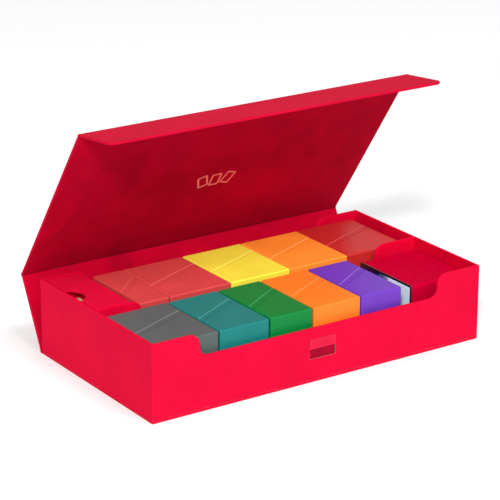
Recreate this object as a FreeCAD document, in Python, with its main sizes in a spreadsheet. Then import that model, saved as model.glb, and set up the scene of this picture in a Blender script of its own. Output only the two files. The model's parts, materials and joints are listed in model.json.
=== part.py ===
"""Large card case: a wrapped tray with a hinged cover, its card boxes, accessory box and cards.

Millimetres, +Z up, origin at the centre of the tray's underside, +Y towards the cover's spine.
The cover is drawn part open: the spine leans back, the lid leans over the tray and the flap
points forward.  Every size is a cell of the sheet "Sizes", and every piece is bound to it.
"""
import FreeCAD, Part
import math
import os
import re
import Sketcher

QUARTER = math.pi / 2
TINY = 0.01      # shorter than any edge of a piece
MOST_PIECES = 60

SIZES = [
    # sleeved cards, which everything else is sized around
    ("sleeve_length", 91.0, "long side of a sleeved card"),
    ("sleeve_width", 66.0, "short side of a sleeved card"),
    ("sleeve_corner", 3.0, "corner radius of a sleeved card"),
    ("loose_stack", 75.0, "thickness of the stack that stands loose in the front bay"),
    ("art_card", 0.8, "thickness of the picture card in front of the loose stack"),
    # two-part card boxes
    ("box_wall", 1.6, "outer wall of a card box"),
    ("neck_gap", 0.1, "play between a card box's neck and its lid"),
    ("neck_wall", 0.9, "wall of the neck that the lid slides over"),
    ("neck_reach", 14.0, "how far the neck goes past the seam"),
    ("deck_play", 0.9, "play in front of and behind the deck in a card box"),
    ("deck_headroom", 0.8, "play above the deck in a card box"),
    ("deck_side_play", 0.4, "play beside the deck in a card box"),
    ("box_round", 1.5, "radius of a card box's edges"),
    ("seam_near", 40.0, "front of a card box to its seam, at the left side"),
    ("seam_far", 72.5, "front of a card box to its seam, at the right side"),
    ("wide_box", 76.0, "width of a card box for 100 sleeved cards"),
    ("medium_box", 60.0, "width of a card box for 80 sleeved cards"),
    ("slim_box", 52.5, "width of a card box for 60 sleeved cards"),
    ("narrow_box", 36.0, "width of a card box for 40 sleeved cards"),
    # accessory box
    ("accessory_width", 41.5, "width of the accessory box"),
    ("accessory_length", 101.5, "length of the accessory box"),
    ("accessory_wall", 1.8, "wall and floor of the accessory box"),
    ("accessory_lid", 2.0, "thickness of the accessory box's lid"),
    ("accessory_lid_gap", 0.3, "gap between the accessory box and its lid"),
    ("accessory_headroom", 2.0, "top of the accessory box's lid below the tray's rim"),
    ("finger_radius", 18.8, "radius of the finger notch in the accessory lid"),
    ("finger_depth", 12.0, "depth of the finger notch"),
    ("finger_centre", 47.0, "front of the accessory box to the middle of the finger notch"),
    ("die_size", 16.0, "side of a die"),
    ("die_pitch", 16.2, "spacing of the stacks of dice"),
    ("die_start", 34.9, "front of the accessory box to the first die"),
    ("die_play", 0.6, "wall of the accessory box to the dice"),
    # materials of the tray and cover
    ("skin", 0.4, "leatherette"),
    ("board", 2.2, "greyboard of the walls and cover panels"),
    ("lining", 0.4, "microfibre lining"),
    ("floor_board", 2.6, "greyboard of the tray's floor"),
    ("divider_board", 2.7, "greyboard of the divider between the bays"),
    ("turn_in", 1.0, "leatherette turned in over the edge of a cover panel"),
    # room in the tray
    ("front_play", 9.5, "front bay's depth beyond a card box's length"),
    ("rear_play", 9.0, "rear bay's depth beyond a card box's length"),
    ("front_row_set", 6.5, "front wall to the front row of card boxes"),
    ("rear_row_set", 5.0, "divider to the rear row of card boxes"),
    ("stack_set", 14.0, "front wall to the loose stack"),
    ("stack_side_play", 1.0, "right wall to the loose stack"),
    ("headroom", 7.0, "tray's rim above the card boxes"),
    ("front_left_gap", 6.0, "left wall to the front row"),
    ("close_gap", 2.0, "gap between the first three boxes of the front row"),
    ("loose_gap", 1.5, "gap between the other boxes of the front row"),
    ("spare_slot", 20.0, "free slot between the front row and the loose stack"),
    ("rear_left_gap", 4.0, "left wall to the accessory box"),
    ("rear_slot", 11.5, "free slot beside the accessory box"),
    ("tight_gap", 1.0, "gap between the boxes of the rear row"),
    ("rear_right_gap", 9.0, "rear row to the right wall"),
    # lowered middle of the front wall, divider and back wall
    ("notch_drop", 25.0, "depth of the lowered middle"),
    ("notch_side", 45.0, "end of the tray to where the rim starts to fall"),
    ("shoulder_radius", 12.0, "radius where the rim starts to fall"),
    ("corner_radius", 10.0, "radius at the foot of the fall"),
    # label in the front wall
    ("label_width", 32.0, "width of the label window"),
    ("label_low", 26.0, "underside of the case to the window's lower edge"),
    ("label_split", 36.3, "underside of the case to the line between plate and recess"),
    ("label_high", 47.5, "underside of the case to the window's upper edge"),
    ("label_depth", 1.8, "depth of the window in the front wall"),
    ("label_set", 0.2, "label plate below the wall's face"),
    ("recess_liner", 0.4, "liner on the floor of the recess under the label plate"),
    # cover
    ("cover_gap", 0.4, "gap between the closed cover and the tray"),
    ("hinge_gap", 1.8, "fold line to the edge of the panel beside it"),
    ("fold_radius", 1.4, "radius of the folded strip of leatherette at a fold"),
    ("flap_length", 63.0, "fold line to the free edge of the flap"),
    ("flap_corner", 9.0, "corner radius of the flap"),
    ("magnet_length", 30.0, "length of a closing magnet"),
    ("magnet_width", 12.0, "width of a closing magnet"),
    ("magnet_thickness", 1.2, "thickness of a closing magnet"),
    ("keeper_thickness", 0.8, "thickness of a steel keeper"),
    ("magnet_drop", 44.0, "fold line to the middle of a closing magnet"),
    ("magnet_spread", 90.0, "middle of the case to the middle of a closing magnet"),
    ("spine_angle", 63.2, "spine above the table, towards the back"),
    ("lid_bend", 61.3, "bend between the spine and the lid"),
    ("flap_bend", 49.7, "bend between the lid and the flap"),
    ("overshoot", 5.0, "how far a cutting shape goes past what it cuts"),
]
DICE_ALONG, DICE_UP = 2, 4

# Shared lengths, as formulas of the sheet's cells.
WALL = "(skin + board + lining)"
CORE_FACE = "(skin + board)"
PANEL = "(skin + board + lining)"
FLOOR = f"({PANEL} + floor_board + lining)"
BOX_SHELL = "(box_wall + neck_gap + neck_wall)"
BOX_LENGTH = f"(sleeve_length + 2 * ({BOX_SHELL} + deck_play))"
BOX_HEIGHT = f"(sleeve_width + 2 * {BOX_SHELL} + deck_headroom)"
FRONT_BAY = f"({BOX_LENGTH} + front_play)"
REAR_BAY = f"({BOX_LENGTH} + rear_play)"
DIVIDER = "(divider_board + 2 * lining)"
DEPTH = f"(2 * {WALL} + {FRONT_BAY} + {DIVIDER} + {REAR_BAY})"
HEIGHT = f"({FLOOR} + {BOX_HEIGHT} + headroom)"
FRONT_ROW = ("(front_left_gap + wide_box + 2 * medium_box + 2 * slim_box + 2 * close_gap"
             " + 2 * loose_gap + spare_slot + loose_stack + stack_side_play)")
REAR_ROW = ("(rear_left_gap + accessory_width + rear_slot + narrow_box + 4 * wide_box"
            " + 4 * tight_gap + rear_right_gap)")
LENGTH = f"(max({FRONT_ROW}; {REAR_ROW}) + 2 * {WALL})"
FRONT = f"(-{DEPTH} / 2)"
LEFT = f"(-{LENGTH} / 2)"
DIVIDER_FRONT = f"({FRONT} + {WALL} + {FRONT_BAY})"
REAR_BAY_FRONT = f"({DIVIDER_FRONT} + {DIVIDER})"
NOTCH_FLOOR = f"({HEIGHT} - notch_drop)"
# A shallow fall limits its own two radii, so that a straight stretch stays between them.
SHOULDER = "min(shoulder_radius; 0.5 * notch_drop)"
CORNER = "min(corner_radius; 0.45 * notch_drop)"
FOLD_OUT = f"(cover_gap + {PANEL} / 2)"
SPINE_SPAN = f"({HEIGHT} + cover_gap)"
LID_SPAN = f"({DEPTH} + 2 * {FOLD_OUT})"

doc = FreeCAD.newDocument("card_case")
sheet = doc.addObject("Spreadsheet::Sheet", "Sizes")
for row, (alias, value, meaning) in enumerate(SIZES, start=1):
    sheet.set(f"A{row}", meaning)
    sheet.set(f"B{row}", str(value))
    sheet.setAlias(f"B{row}", alias)
doc.recompute()

ALIAS_WORDS = re.compile(r"\b(" + "|".join(alias for alias, _, _ in SIZES) + r")\b")
nodes = []


def bind(item, prop, formula):
    """Bind a property to a formula of the sheet's cells."""
    item.setExpression(prop, ALIAS_WORDS.sub(r"Sizes.\1", formula))


def place(item, x, y, z):
    """Bind the three coordinates of an item's placement."""
    for axis, formula in zip("xyz", (x, y, z)):
        bind(item, f"Placement.Base.{axis}", formula)
    return item


def lean(item, pivot, angle, along, off):
    """Set an item on a leaning panel: along it from the pivot, and off its middle plane."""
    item.Placement = FreeCAD.Placement(FreeCAD.Vector(), FreeCAD.Rotation(FreeCAD.Vector(1, 0, 0), 1))
    bind(item, "Placement.Rotation.Angle", angle)
    pivot_y, pivot_z = pivot
    y = f"{pivot_y} + ({along}) * cos({angle}) - ({off}) * sin({angle})"
    z = f"{pivot_z} + ({along}) * sin({angle}) + ({off}) * cos({angle})"
    return place(item, "0", y, z)


def block(name, length, width, height):
    """Make a rectangular block with its corner at its own origin."""
    made = doc.addObject("Part::Box", name)
    bind(made, "Length", length)
    bind(made, "Width", width)
    bind(made, "Height", height)
    return made


def cut(name, base, *tools):
    """Take every tool away from the base."""
    for number, tool in enumerate(tools, start=1):
        made = doc.addObject("Part::Cut", name if number == len(tools) else f"{name}_cut_{number}")
        made.Base, made.Tool = base, tool
        base = made
    return base


def both(kind, name, first, second):
    """Join or intersect two solids; kind is Fuse or Common."""
    made = doc.addObject(f"Part::{kind}", name)
    made.Base, made.Tool = first, second
    return made


def group(name, items):
    """Keep separate solids together in one piece."""
    made = doc.addObject("Part::Compound", name)
    made.Links = items
    return made


def node(item, label):
    """Name a finished piece."""
    item.Label = label
    nodes.append(item)
    return item


def new_sketch(body, name, role):
    """Attach a new sketch to one of the body's own origin planes."""
    sketch = body.newObject("Sketcher::SketchObject", name)
    plane = next(item for item in body.Origin.OriginFeatures if item.Role == role)
    sketch.AttachmentSupport = [(plane, "")]
    sketch.MapMode = "FlatFace"
    return sketch


def pad(body, sketch, length):
    """Pad a sketch by a bound length."""
    made = body.newObject("PartDesign::Pad", f"{body.Name}_pad")
    made.Profile = sketch
    bind(made, "Length", length)
    body.Tip = made
    return made


def datum(sketch, name, formula, *constraint):
    """Add a named dimension to a sketch and bind it."""
    index = sketch.addConstraint(Sketcher.Constraint(*constraint))
    sketch.renameConstraint(index, name)
    bind(sketch, f"Constraints.{name}", formula)


def rounded_plate(name, role, across, up, thickness, radius, rounded):
    """Pad a rectangle centred across its plane and standing on the plane's axis.

    rounded picks, from the middle of each straight edge of the pad, which edges get the radius.
    """
    body = doc.addObject("PartDesign::Body", name)
    sketch = new_sketch(body, f"{name}_outline", role)
    # The drawing starts at any size; the bound dimensions give it its real one.
    corners = [FreeCAD.Vector(*xy, 0) for xy in ((-10, 0), (10, 0), (10, 10), (-10, 10))]
    for start in range(4):
        sketch.addGeometry(Part.LineSegment(corners[start], corners[(start + 1) % 4]), False)
    for start in range(4):
        sketch.addConstraint(Sketcher.Constraint("Coincident", start, 2, (start + 1) % 4, 1))
    for level in (0, 2):
        sketch.addConstraint(Sketcher.Constraint("Horizontal", level))
    for upright in (1, 3):
        sketch.addConstraint(Sketcher.Constraint("Vertical", upright))
    sketch.addConstraint(Sketcher.Constraint("Symmetric", 0, 1, 0, 2, -1, 1))
    datum(sketch, "across", across, "DistanceX", 0, 1, 0, 2, 20)
    datum(sketch, "up", up, "DistanceY", 1, 1, 1, 2, 10)
    made = pad(body, sketch, thickness)
    doc.recompute()
    picked = [f"Edge{number}" for number, edge in enumerate(made.Shape.Edges, start=1)
              if rounded(edge)]
    fillet = body.newObject("PartDesign::Fillet", f"{name}_fillet")
    fillet.Base = (made, picked)
    bind(fillet, "Radius", radius)
    body.Tip = fillet
    return body


def rim_form(name, half_length, low, inset, thickness, back):
    """Pad the outline of a wall whose middle is lowered, with round shoulders and corners.

    The outline runs from the height low to the rim, set in from the rim by inset, and the pad
    goes from back towards the front.
    """
    body = doc.addObject("PartDesign::Body", name)
    sketch = new_sketch(body, f"{name}_outline", "XZ_Plane")
    # The drawing starts near these sizes; the bound dimensions give it its real ones.
    half, top, shoulder, foot, turn = 200.0, 80.0, (160.0, 68.0), (138.0, 65.0), (12.0, 10.0)
    fall = shoulder[0] - turn[0]
    floor = foot[1] - turn[1]

    def line(x1, y1, x2, y2):
        sketch.addGeometry(Part.LineSegment(FreeCAD.Vector(x1, y1, 0), FreeCAD.Vector(x2, y2, 0)))

    def arc(x, y, radius, first_quarter):
        circle = Part.Circle(FreeCAD.Vector(x, y, 0), FreeCAD.Vector(0, 0, 1), radius)
        start = first_quarter * QUARTER
        sketch.addGeometry(Part.ArcOfCircle(circle, start, start + QUARTER))

    line(-half, 0, half, 0)                              # 0 foot of the wall
    line(half, 0, half, top)                             # 1 right end
    line(half, top, shoulder[0], top)                    # 2 right rim
    arc(shoulder[0], shoulder[1], turn[0], 1)            # 3 right shoulder
    line(fall, shoulder[1], fall, foot[1])               # 4 right fall
    arc(foot[0], foot[1], turn[1], 3)                    # 5 right corner
    line(foot[0], floor, -foot[0], floor)                # 6 lowered rim
    arc(-foot[0], foot[1], turn[1], 2)                   # 7 left corner
    line(-fall, foot[1], -fall, shoulder[1])             # 8 left fall
    arc(-shoulder[0], shoulder[1], turn[0], 0)           # 9 left shoulder
    line(-shoulder[0], top, -half, top)                  # 10 left rim
    line(-half, top, -half, 0)                           # 11 left end
    for first, second in ((0, 1), (1, 2), (10, 11), (11, 0)):
        sketch.addConstraint(Sketcher.Constraint("Coincident", first, 2, second, 1))
    for first, end, second, start in ((2, 2, 3, 1), (3, 2, 4, 1), (4, 2, 5, 2), (5, 1, 6, 1),
                                      (6, 2, 7, 2), (7, 1, 8, 1), (8, 2, 9, 1), (9, 2, 10, 1)):
        sketch.addConstraint(Sketcher.Constraint("Tangent", first, end, second, start))
    for level in (0, 2, 6, 10):
        sketch.addConstraint(Sketcher.Constraint("Horizontal", level))
    for upright in (1, 4, 8, 11):
        sketch.addConstraint(Sketcher.Constraint("Vertical", upright))
    sketch.addConstraint(Sketcher.Constraint("Symmetric", 0, 1, 0, 2, -1, 1))
    sketch.addConstraint(Sketcher.Constraint("Symmetric", 3, 3, 9, 3, -2))
    sketch.addConstraint(Sketcher.Constraint("Equal", 3, 9))
    sketch.addConstraint(Sketcher.Constraint("Equal", 5, 7))
    datum(sketch, "half_length", half_length, "DistanceX", -1, 1, 0, 2, half)
    datum(sketch, "shoulder_across", f"{LENGTH} / 2 - notch_side",
          "DistanceX", -1, 1, 3, 3, shoulder[0])
    datum(sketch, "shoulder_up", f"{HEIGHT} - {SHOULDER} - {low}",
          "DistanceY", -1, 1, 3, 3, shoulder[1])
    datum(sketch, "corner_up", f"{NOTCH_FLOOR} + {CORNER} - {low}",
          "DistanceY", -1, 1, 5, 3, foot[1])
    datum(sketch, "shoulder", f"{SHOULDER} - {inset}", "Radius", 3, turn[0])
    datum(sketch, "corner", f"{CORNER} + {inset}", "Radius", 5, turn[1])
    pad(body, sketch, thickness)
    return place(body, "0", back, low)


# --- tray -------------------------------------------------------------------------------------

CORE_HALF = f"({LENGTH} / 2 - skin)"
INNER_HALF = f"({LENGTH} / 2 - {CORE_FACE})"
FLOOR_BOARD_TOP = f"({PANEL} + floor_board)"


def tray_block(name, half, low, high, front, back):
    """Make a block centred across the tray, between two heights and two depths."""
    made = block(name, f"2 * {half}", f"{back} - {front}", f"{high} - {low}")
    return place(made, f"-{half}", front, low)


base_panel = block("base_panel", LENGTH, DEPTH, PANEL)
node(place(base_panel, LEFT, FRONT, "0"), "base_panel")

node(tray_block("floor_core", INNER_HALF, PANEL, FLOOR_BOARD_TOP,
                f"({FRONT} + {CORE_FACE})", f"(-{FRONT} - {CORE_FACE})"), "tray_bottom_board")

front_core = rim_form("front_core", CORE_HALF, PANEL, "skin", "board", f"{FRONT} + {CORE_FACE}")
back_core = rim_form("back_core", CORE_HALF, PANEL, "skin", "board", f"-{FRONT} - skin")
divider_core = rim_form("divider_core", INNER_HALF, FLOOR_BOARD_TOP, "lining", "divider_board",
                        f"{REAR_BAY_FRONT} - lining")

LABEL_HALF = "(label_width / 2)"
label_window = tray_block("label_window", LABEL_HALF, "label_low", "label_high",
                          f"({FRONT} - overshoot)", f"({FRONT} + label_depth)")

keepers = []
for side, sign in (("left", "-"), ("right", "")):
    keeper = block(f"keeper_{side}", "magnet_length", "keeper_thickness", "magnet_width")
    place(keeper, f"{sign}magnet_spread - magnet_length / 2",
          f"{FRONT} + {CORE_FACE} - keeper_thickness",
          f"{SPINE_SPAN} + {PANEL} / 2 - magnet_drop - magnet_width / 2")
    keepers.append(keeper)
keeper_pair = node(group("keeper_pair", keepers), "keeper_plates")
node(cut("front_wall", front_core, label_window, keeper_pair), "front_wall_board")
node(back_core, "back_wall_board")
node(divider_core, "divider_board")

for side, x in (("left", f"-{CORE_HALF}"), ("right", INNER_HALF)):
    wall = block(f"{side}_wall", "board", f"{DEPTH} - 2 * {CORE_FACE}", f"{HEIGHT} - skin - {PANEL}")
    node(place(wall, x, f"{FRONT} + {CORE_FACE}", PANEL), f"{side}_wall_board")

# The skin is the tray's whole outline less its boards and what lies inside them.
outer_form = rim_form("outer_form", f"{LENGTH} / 2", PANEL, "0", DEPTH, f"-{FRONT}")
core_form = rim_form("core_form", CORE_HALF, PANEL, "skin", f"{DEPTH} - 2 * skin", f"-{FRONT} - skin")
well = tray_block("well", INNER_HALF, "0", f"({HEIGHT} + overshoot)",
                  f"({FRONT} + {CORE_FACE})", f"(-{FRONT} - {CORE_FACE})")
node(cut("outer_skin", outer_form, core_form, well, label_window), "tray_outer_skin")

lining_form = rim_form("lining_form", INNER_HALF, FLOOR_BOARD_TOP, "0",
                       f"{DEPTH} - 2 * {CORE_FACE}", f"-{FRONT} - {CORE_FACE}")
BAY_HALF = f"({LENGTH} / 2 - {WALL})"
front_bay = tray_block("front_bay", BAY_HALF, FLOOR, f"({HEIGHT} + overshoot)",
                       f"({FRONT} + {WALL})", DIVIDER_FRONT)
rear_bay = tray_block("rear_bay", BAY_HALF, FLOOR, f"({HEIGHT} + overshoot)",
                      REAR_BAY_FRONT, f"(-{FRONT} - {WALL})")
node(cut("lining", lining_form, front_bay, rear_bay, divider_core), "tray_lining")

node(tray_block("label", LABEL_HALF, "label_split", "label_high",
                f"({FRONT} + label_set)", f"({FRONT} + label_depth)"), "label_plate")
node(tray_block("recess", LABEL_HALF, "label_low", "label_split",
                f"({FRONT} + label_depth - recess_liner)", f"({FRONT} + label_depth)"),
     "label_recess_liner")

# --- cover ------------------------------------------------------------------------------------

LID_ANGLE = "(spine_angle + lid_bend)"
FLAP_ANGLE = "(spine_angle + lid_bend + flap_bend)"
spine_pivot = (f"({FOLD_OUT} - {FRONT})", f"({PANEL} / 2)")
lid_pivot = (f"({spine_pivot[0]} + {SPINE_SPAN} * cos(spine_angle))",
             f"({spine_pivot[1]} + {SPINE_SPAN} * sin(spine_angle))")
flap_pivot = (f"({lid_pivot[0]} + {LID_SPAN} * cos{LID_ANGLE})",
              f"({lid_pivot[1]} + {LID_SPAN} * sin{LID_ANGLE})")


def along_edge(edge):
    """Pick the two upright edges at the free end of a panel."""
    box = edge.BoundBox
    return box.ZLength > TINY and box.XLength + box.YLength < TINY and box.YMin > TINY


def layer(name, pivot, angle, span, inset, low, thickness, corner):
    """Make one layer of a cover panel, set in from the panel's edges by inset.

    low is the layer's height over the panel's middle plane, towards the inside of the case.
    """
    across = f"{LENGTH} - 2 * ({inset})"
    up = f"{span} - 2 * ({inset})"
    if corner:
        made = rounded_plate(name, "XY_Plane", across, up, thickness, f"{corner} - {inset}",
                             along_edge)
        return lean(made, pivot, angle, f"hinge_gap + {inset}", low)
    made = block(name, across, up, thickness)
    lean(made, pivot, angle, f"hinge_gap + {inset}", low)
    bind(made, "Placement.Base.x", f"-({across}) / 2")
    return made


def cover_panel(name, pivot, angle, span, corner=None, pockets=None):
    """Make a cover panel: a board, the skin round it and the lining inside the skin's edge."""
    whole = layer(f"{name}_form", pivot, angle, span, "0", f"-{PANEL} / 2", PANEL, corner)
    core = layer(f"{name}_core", pivot, angle, span, "skin", f"skin - {PANEL} / 2", "board", corner)
    inner = layer(f"{name}_inner", pivot, angle, span, "turn_in", f"{PANEL} / 2 - lining", "lining",
                  corner)
    node(cut(f"{name}_wrap", whole, core, inner), f"{name}_skin")
    node(cut(f"{name}_board_cut", core, pockets) if pockets else core, f"{name}_board")
    node(inner, f"{name}_lining")


cover_panel("spine", spine_pivot, "spine_angle", f"({SPINE_SPAN} - 2 * hinge_gap)")
cover_panel("lid", lid_pivot, LID_ANGLE, f"({LID_SPAN} - 2 * hinge_gap)")

magnets = []
for side, sign in (("left", "-"), ("right", "")):
    magnet = block(f"magnet_{side}", "magnet_length", "magnet_width", "magnet_thickness")
    lean(magnet, flap_pivot, FLAP_ANGLE, "magnet_drop - magnet_width / 2",
         f"{PANEL} / 2 - lining - magnet_thickness")
    bind(magnet, "Placement.Base.x", f"{sign}magnet_spread - magnet_length / 2")
    magnets.append(magnet)
magnet_pair = node(group("magnet_pair", magnets), "flap_magnets")
cover_panel("flap", flap_pivot, FLAP_ANGLE, "(flap_length - hinge_gap)", "flap_corner", magnet_pair)

for name, (pivot_y, pivot_z) in (("spine", spine_pivot), ("lid", lid_pivot), ("flap", flap_pivot)):
    fold = doc.addObject("Part::Cylinder", f"{name}_fold")
    bind(fold, "Radius", "fold_radius")
    bind(fold, "Height", LENGTH)
    fold.Placement = FreeCAD.Placement(FreeCAD.Vector(),
                                       FreeCAD.Rotation(FreeCAD.Vector(0, 1, 0), 90))
    node(place(fold, LEFT, pivot_y, pivot_z), f"{name}_hinge_strip")

# --- card boxes -------------------------------------------------------------------------------


def card_box(name, width, left, front):
    """Make a two-part card box with a slanted seam, and the deck of cards inside it."""
    form = rounded_plate(f"{name}_form", "XY_Plane", width, BOX_LENGTH, BOX_HEIGHT, "box_round",
                         lambda edge: True)
    place(form, f"{left} + {width} / 2", front, FLOOR)

    def hollow(part, inset):
        made = block(f"{name}_{part}", f"{width} - 2 * {inset}", f"{BOX_LENGTH} - 2 * {inset}",
                     f"{BOX_HEIGHT} - 2 * {inset}")
        return place(made, f"{left} + {inset}", f"{front} + {inset}", f"{FLOOR} + {inset}")

    def before_seam(part, shift):
        made = doc.addObject("Part::Wedge", f"{name}_{part}")
        for prop, formula in (("Xmin", "-overshoot"), ("X2min", "-overshoot"),
                              ("Xmax", f"seam_near + {shift}"), ("X2max", f"seam_far + {shift}"),
                              ("Ymin", "0"), ("Ymax", width),
                              ("Zmin", "-overshoot"), ("Z2min", "-overshoot"),
                              ("Zmax", f"{BOX_HEIGHT} + overshoot"),
                              ("Z2max", f"{BOX_HEIGHT} + overshoot")):
            bind(made, prop, formula)
        made.Placement = FreeCAD.Placement(FreeCAD.Vector(),
                                           FreeCAD.Rotation(FreeCAD.Vector(1, 1, 0), 180))
        return place(made, left, front, f"{FLOOR} + {BOX_HEIGHT}")

    neck = hollow("neck", "(box_wall + neck_gap)")
    room = hollow("room", BOX_SHELL)
    cap_room = hollow("cap_room", "box_wall")
    seam = before_seam("seam", "0")
    reach = before_seam("reach", "neck_reach")
    outside = both("Common", f"{name}_outside", form, seam)
    inside = both("Common", f"{name}_inside", neck, reach)
    node(cut(f"{name}_shell", both("Fuse", f"{name}_solid", outside, inside), room), f"{name}_base")
    node(cut(f"{name}_cap", form, seam, cap_room), f"{name}_lid")
    side = f"({BOX_SHELL} + deck_side_play)"
    deck = block(f"{name}_cards", f"{width} - 2 * {side}", "sleeve_length", "sleeve_width")
    node(place(deck, f"{left} + {side}", f"{front} + {BOX_SHELL} + deck_play",
               f"{FLOOR} + {BOX_SHELL}"), f"{name}_deck")


def row_of_boxes(start, front, boxes):
    """Set card boxes side by side; each comes with its width and the gap after it."""
    left = start
    for name, width, gap in boxes:
        card_box(name, width, left, front)
        left = f"({left} + {width} + {gap})"


row_of_boxes(f"({LEFT} + {WALL} + front_left_gap)", f"({FRONT} + {WALL} + front_row_set)", (
    ("grey_box", "wide_box", "close_gap"),
    ("teal_box", "medium_box", "close_gap"),
    ("green_box", "slim_box", "loose_gap"),
    ("orange_box", "medium_box", "loose_gap"),
    ("purple_box", "slim_box", "spare_slot"),
))
row_of_boxes(f"({LEFT} + {WALL} + rear_left_gap + accessory_width + rear_slot)",
             f"({REAR_BAY_FRONT} + rear_row_set)", (
    ("small_red_box", "narrow_box", "tight_gap"),
    ("left_red_box", "wide_box", "tight_gap"),
    ("yellow_box", "wide_box", "tight_gap"),
    ("amber_box", "wide_box", "tight_gap"),
    ("right_red_box", "wide_box", "rear_right_gap"),
))

# --- accessory box and loose stack --------------------------------------------------------------

ACCESSORY_LEFT = f"({LEFT} + {WALL} + rear_left_gap)"
ACCESSORY_FRONT = f"({REAR_BAY_FRONT} + rear_row_set)"
LID_TOP = f"({HEIGHT} - accessory_headroom)"
RIM = f"({LID_TOP} - accessory_lid - accessory_lid_gap)"

tub = place(block("tub", "accessory_width", "accessory_length", f"{RIM} - {FLOOR}"),
            ACCESSORY_LEFT, ACCESSORY_FRONT, FLOOR)
tub_room = place(block("tub_room", "accessory_width - 2 * accessory_wall",
                       "accessory_length - 2 * accessory_wall", HEIGHT),
                 f"{ACCESSORY_LEFT} + accessory_wall", f"{ACCESSORY_FRONT} + accessory_wall",
                 f"{FLOOR} + accessory_wall")
node(cut("tub_shell", tub, tub_room), "accessory_box_body")

cap = place(block("cap", "accessory_width", "accessory_length", "accessory_lid"),
            ACCESSORY_LEFT, ACCESSORY_FRONT, f"{LID_TOP} - accessory_lid")
finger = doc.addObject("Part::Cylinder", "finger")
bind(finger, "Radius", "finger_radius")
bind(finger, "Height", "accessory_lid + 2 * overshoot")
place(finger, f"{ACCESSORY_LEFT} + finger_depth - finger_radius",
      f"{ACCESSORY_FRONT} + finger_centre", f"{RIM} - overshoot")
node(cut("cap_notched", cap, finger), "accessory_box_lid")

dice = []
for along in range(DICE_ALONG):
    for up in range(DICE_UP):
        die = block(f"die_{along}_{up}", "die_size", "die_size", "die_size")
        place(die, f"{ACCESSORY_LEFT} + accessory_wall + die_play",
              f"{ACCESSORY_FRONT} + die_start + {along} * die_pitch",
              f"{FLOOR} + accessory_wall + {up} * die_size")
        dice.append(die)
node(group("dice_group", dice), "dice")


def along_stack(edge):
    """Pick the edges that run through a stack of cards."""
    box = edge.BoundBox
    return box.XLength > TINY and box.YLength + box.ZLength < TINY


STACK_LEFT = f"(-{LEFT} - {WALL} - stack_side_play - loose_stack)"
for name, thickness, x in (("sleeved_cards", "loose_stack", STACK_LEFT),
                           ("art_card", "art_card", f"{STACK_LEFT} - art_card")):
    cards = rounded_plate(f"{name}_form", "YZ_Plane", "sleeve_length", "sleeve_width", thickness,
                          "sleeve_corner", along_stack)
    node(place(cards, x, f"{FRONT} + {WALL} + stack_set + sleeve_length / 2", FLOOR), name)

# --- checks and files -----------------------------------------------------------------------------

doc.recompute()
for item in doc.Objects:
    if "Invalid" in item.State or "Error" in item.State:
        raise RuntimeError(f"{item.Name} did not build: {item.State}")
labels = [item.Label for item in nodes]
if len(set(labels)) != len(labels) or len(labels) > MOST_PIECES:
    raise RuntimeError(f"{len(labels)} pieces, {len(set(labels))} different names")
for item in nodes:
    if item.Shape.isNull() or not item.Shape.isValid() or not item.Shape.Solids:
        raise RuntimeError(f"{item.Label} has no valid solid")
os.makedirs("parts", exist_ok=True)
for item in nodes:
    item.Shape.exportStep(f"parts/{item.Label}.step")
    print(f"{item.Label}: {len(item.Shape.Solids)} solids, {item.Shape.Volume / 1000:.1f} cm3")
print(f"{len(nodes)} pieces")
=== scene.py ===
"""Looks of a large leatherette card case that stands open, filled with card boxes and cards.

Lengths are in metres.  Sizes come from the frame's own boxes, and finishing sizes such as edge
radii are dataclass fields, given in millimetres times MM.
"""
import json
import logging
import math
import random
from dataclasses import dataclass
from enum import Enum
from itertools import product
from typing import Any, Callable, Sequence

import bmesh
import bpy
from mathutils import Matrix, Vector


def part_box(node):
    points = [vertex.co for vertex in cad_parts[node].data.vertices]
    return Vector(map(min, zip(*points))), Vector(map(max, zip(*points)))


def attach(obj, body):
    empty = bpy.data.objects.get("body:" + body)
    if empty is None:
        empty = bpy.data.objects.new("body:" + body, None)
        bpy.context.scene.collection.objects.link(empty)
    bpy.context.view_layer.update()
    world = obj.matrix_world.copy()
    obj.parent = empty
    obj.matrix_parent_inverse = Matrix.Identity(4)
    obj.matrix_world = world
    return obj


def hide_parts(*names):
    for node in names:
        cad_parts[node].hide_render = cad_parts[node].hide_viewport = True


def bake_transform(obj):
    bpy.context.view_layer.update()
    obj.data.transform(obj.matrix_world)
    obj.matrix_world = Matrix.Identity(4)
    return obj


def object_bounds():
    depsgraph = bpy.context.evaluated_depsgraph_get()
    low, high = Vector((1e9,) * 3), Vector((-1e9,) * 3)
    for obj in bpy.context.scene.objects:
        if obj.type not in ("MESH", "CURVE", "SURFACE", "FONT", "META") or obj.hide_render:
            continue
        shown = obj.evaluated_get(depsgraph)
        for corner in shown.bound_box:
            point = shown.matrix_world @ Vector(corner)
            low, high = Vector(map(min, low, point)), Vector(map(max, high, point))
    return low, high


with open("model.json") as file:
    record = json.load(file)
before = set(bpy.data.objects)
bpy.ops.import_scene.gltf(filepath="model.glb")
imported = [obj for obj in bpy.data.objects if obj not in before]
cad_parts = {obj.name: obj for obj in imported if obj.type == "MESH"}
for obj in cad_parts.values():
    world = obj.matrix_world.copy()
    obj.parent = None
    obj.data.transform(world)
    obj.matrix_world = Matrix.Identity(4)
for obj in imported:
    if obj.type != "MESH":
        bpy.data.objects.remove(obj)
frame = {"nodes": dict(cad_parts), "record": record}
cad_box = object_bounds()

MM = 0.001
log = logging.getLogger("card_case")
Color = tuple[float, float, float, float]


class Part(Enum):
    """The kind of mesh element that an edit works on."""

    EDGE = "EDGE"
    FACE = "FACE"


# --- modelling by hand, in code ------------------------------------------------------------------


def select_nothing() -> None:
    """Deselect every object."""
    bpy.ops.object.select_all(action="DESELECT")


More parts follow.
